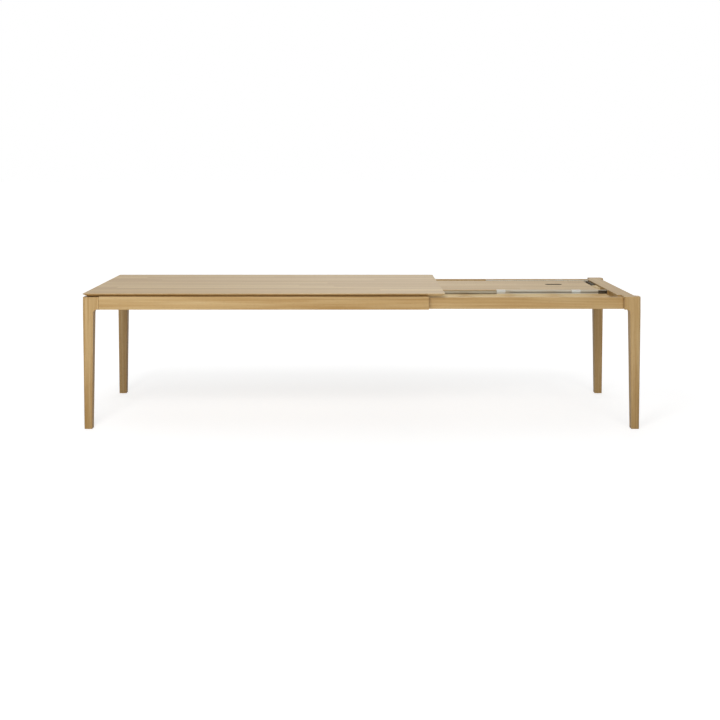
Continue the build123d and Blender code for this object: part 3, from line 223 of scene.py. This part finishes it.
# Cold drawn steel with a wipe of oil: a warmer grey, streaked along the bar.  The film of oil
# takes a little of its shine too.
drawn_steel = plain("drawn_steel", "#B9AF99", 0.4, grit=2.5, depth=0.02, mottling=0.12,
                    metallic=0.8, stretch=DRAWN_STRETCH)
# Rolled steel, zinc plated: cool and slightly clouded.
zinc_plated_steel = plain("zinc_plated_steel", "#B9BBBC", 0.38, grit=4.5, depth=0.02,
                          mottling=0.08, metallic=1.0)
# Injection-moulded nylon, unpigmented: off-white and a little waxy.
moulded_nylon = plain("moulded_nylon", "#E9E6DD", 0.42, grit=2.5, depth=0.02, mottling=0.03,
                      **{"Subsurface Weight": 0.1})
# Moulded polypropylene with a fine spark-eroded texture: dull, dark and faintly brown. It also
# colours the rear arm of the rail end shoes, a dark piece set in the gap at the leaf's end where
# there is only shade: painted shade.
polypropylene_and_painted_gap_shade = plain("polypropylene_and_painted_gap_shade", "#453A2B", 0.6, grit=2.5, depth=0.05,
                              mottling=0.1, **{"Specular IOR Level": 0.2})
# Die-cast zinc with a dark bronze lacquer: nearly black, with a dull glint at the rim where the
# metal shows through.
bronze_lacquer = plain("bronze_lacquer", "#32270F", 0.45, grit=2.5, depth=0.02, mottling=0.15,
                       metallic=0.5)
# Turned brass, left plain: yellow and bright.
turned_brass = plain("turned_brass", "#C9A45C", 0.3, grit=2.5, depth=0.02, mottling=0.05,
                     metallic=1.0)
# Pressed wool felt: no shine, a coarse nap.
pressed_felt = plain("pressed_felt", "#7D6C55", 0.95, grit=1.1, depth=0.3, mottling=0.25)

# ------------------------------------------------------------------ which piece is made of what
BY_SLOT = {
    "oak": oak_long, "beech": beech_long, "aluminium": anodised_aluminium,
    "drawn_steel": drawn_steel, "zinc_steel": zinc_plated_steel, "white_nylon": moulded_nylon,
    "black_plastic": polypropylene_and_painted_gap_shade, "bronze": bronze_lacquer, "brass": turned_brass,
    "felt": pressed_felt,
}
OAK_CROSS = ["end_apron_left", "end_apron_right", "end_cleat", "fixed_cross_rail"]
BEECH_CROSS = ["corner_blocks_left", "corner_blocks_right", "leaf_stops"]


def material_of(name, slot):
    """The slot's material, with the grain turned the way the piece was cut."""
    if slot == "oak":
        if name == "tabletop":
            return oak_top
        if name.startswith("leaf_"):
            return oak_leaf
        if name.startswith("leg_"):
            return oak_leg
        if name.startswith("bay_rail_") or name in OAK_CROSS:
            return oak_cross
    if name in BEECH_CROSS:
        return beech_cross
    return BY_SLOT[slot]


for entry in frame["record"]["subparts"]:
    slots = nodes[entry["node"]].data.materials
    slots.clear()
    slots.append(material_of(entry["node"], entry["material_slot"]))


# ------------------------------------------------------------------ floor, backdrop and light
WHITE = rgb("#FFFFFF")
FLOOR_SIZE = 60.0               # metres from the middle to each side
FLOOR_BOUNCE = ("#E7E7E7", 0.02)    # colour and glow of the floor as it lights the table
FLOOR_SEEN = "#B5B5B5"          # colour of the floor as it is seen, without its glow
GLOW_IN_PAINTED_SHADOW, GLOW_AWAY = 0.71, 0.82  # glow seen under the table, dimmed there as a painted shadow, and away from it
PAINTED_SHADOW_REACH = (0.5, 1.9)       # metres from the middle, across the table, over which the painted shadow fades out
TABLE_STRETCH = 0.45            # the table is about twice as long as wide


def stage_floor():
    """A wide white floor, seen overexposed away from the table, with a soft shadow under it:
    partly cast by the lamps on its matt part, partly painted shadow, a glow that dims under the
    table.
    """
    corners = [(-1, -1), (1, -1), (1, 1), (-1, 1)]
    mesh = bpy.data.meshes.new("floor")
    mesh.from_pydata([(x * FLOOR_SIZE, y * FLOOR_SIZE, 0.0) for x, y in corners], [],
                     [(0, 1, 2, 3)])
    floor = bpy.data.objects.new("floor", mesh)
    bpy.context.scene.collection.objects.link(floor)
    material = bpy.data.materials.new("white_floor")
    tree = bare_tree(material)
    at = add(tree, "TexCoord")["Object"]
    at = add(tree, "Mapping", {"Vector": at, "Scale": (TABLE_STRETCH, 1.0, 1.0)})[0]
    away = add(tree, "VectorMath", {0: at}, operation="LENGTH")["Value"]
    near, far = PAINTED_SHADOW_REACH
    # Painted shadow: the glow seen by the camera dims towards the middle, under the table.
    glow_with_painted_shadow = add(tree, "MapRange", {0: away, 1: near, 2: far, 3: GLOW_IN_PAINTED_SHADOW, 4: GLOW_AWAY},
                interpolation_type="SMOOTHSTEP")[0]
    pair = []
    for colour, glow in (FLOOR_BOUNCE, (FLOOR_SEEN, glow_with_painted_shadow)):
        matt = add(tree, "BsdfDiffuse", {"Color": rgb(colour)})[0]
        light = add(tree, "Emission", {"Color": WHITE, "Strength": glow})[0]
        pair.append(add(tree, "AddShader", {0: matt, 1: light})[0])
    bounce, seen = pair
    camera_ray = add(tree, "LightPath")["Is Camera Ray"]
    surface = add(tree, "MixShader", {0: camera_ray, 1: bounce, 2: seen})[0]
    add(tree, "OutputMaterial", {"Surface": surface})
    mesh.materials.append(material)


def sky_light(name, heading, elevation, spread, strength):
    """A very broad soft light from one side; angles in degrees, heading from -Y towards -X."""
    data = bpy.data.lights.new(name, "SUN")
    data.energy = strength
    data.angle = math.radians(spread)
    lamp = bpy.data.objects.new(name, data)
    lamp.rotation_euler = (math.radians(90.0 - elevation), 0.0, math.radians(-heading))
    bpy.context.scene.collection.objects.link(lamp)


def area_light(name, place, aim, size, power):
    """A rectangular soft light at place, pointed at aim."""
    data = bpy.data.lights.new(name, "AREA")
    data.shape = "RECTANGLE"
    data.size, data.size_y = size
    data.energy = power
    lamp = bpy.data.objects.new(name, data)
    lamp.location = place
    lamp.visible_camera = False
    direction = [a - p for a, p in zip(aim, place)]
    lamp.rotation_euler = Vector(direction).to_track_quat("-Z", "Y").to_euler()
    bpy.context.scene.collection.objects.link(lamp)


def world_light(strength, seen, mirrored, spot, spot_width, spot_mirrored):
    """Even surroundings: strength is what lights the table, seen what the camera sees.

    What the table mirrors is brighter around one heading, as a window behind it would make it:
    spot is that heading's sine, and spot_width how far it fades.
    """
    world = bpy.data.worlds.new("studio")
    bpy.context.scene.world = world
    tree = bare_tree(world)
    path = add(tree, "LightPath")
    sideways = add(tree, "SeparateXYZ", {0: add(tree, "TexCoord")["Generated"]})[0]
    off_spot = add(tree, "Math", {0: sideways, 1: spot}, operation="SUBTRACT")[0]
    off_spot = add(tree, "Math", {0: off_spot}, operation="ABSOLUTE")[0]
    gain = add(tree, "MapRange", {0: off_spot, 1: 0.0, 2: spot_width, 3: spot_mirrored,
                                  4: mirrored}, interpolation_type="SMOOTHSTEP")[0]
    fill = add(tree, "Background", {"Color": WHITE, "Strength": strength})[0]
    mirror = add(tree, "Background", {"Color": rgb("#FFFFF7"), "Strength": gain})[0]
    backdrop = add(tree, "Background", {"Color": WHITE, "Strength": seen})[0]
    unseen = add(tree, "MixShader", {0: path["Is Glossy Ray"], 1: fill, 2: mirror})[0]
    surface = add(tree, "MixShader", {0: path["Is Camera Ray"], 1: unseen, 2: backdrop})[0]
    add(tree, "OutputWorld", {"Surface": surface})


stage_floor()
world_light(strength=0.17, seen=1.0, mirrored=0.70, spot=0.05, spot_width=0.24,
            spot_mirrored=1.16)
sky_light("key", heading=-4.0, elevation=40.0, spread=26.0, strength=0.72)
sky_light("overhead", heading=0.0, elevation=84.0, spread=40.0, strength=0.22)
sky_light("rear", heading=174.0, elevation=50.0, spread=50.0, strength=0.50)
area_light("softbox_front", place=(-1.5, -4.8, 3.8), aim=(-1.0, -0.3, 0.4), size=(1.6, 1.2),
           power=106.0)
area_light("reflector_front", place=(-0.6, -1.9, 0.03), aim=(-0.6, -1.89, 1.0),
           size=(5.2, 1.6), power=20.0)

# ------------------------------------------------------------------ camera
CAMERA_PLACE = (-0.047, -6.707, 1.504)
CAMERA_TURN = (math.radians(90.0), 0.0, 0.0)    # level, so that uprights stay upright
SENSOR = 36.0                   # mm
LENS = 56.28                    # mm
SHIFT = (0.0094, -0.2821)       # looks down to the table without tilting
FAR = 200.0                     # metres

camera_data = bpy.data.cameras.new("camera")
camera_data.sensor_width = SENSOR
camera_data.lens = LENS
camera_data.shift_x, camera_data.shift_y = SHIFT
camera_data.clip_end = FAR
camera = bpy.data.objects.new("camera", camera_data)
camera.location = CAMERA_PLACE
camera.rotation_euler = CAMERA_TURN
bpy.context.scene.collection.objects.link(camera)
bpy.context.scene.camera = camera
bpy.context.scene.view_settings.view_transform = "Standard"
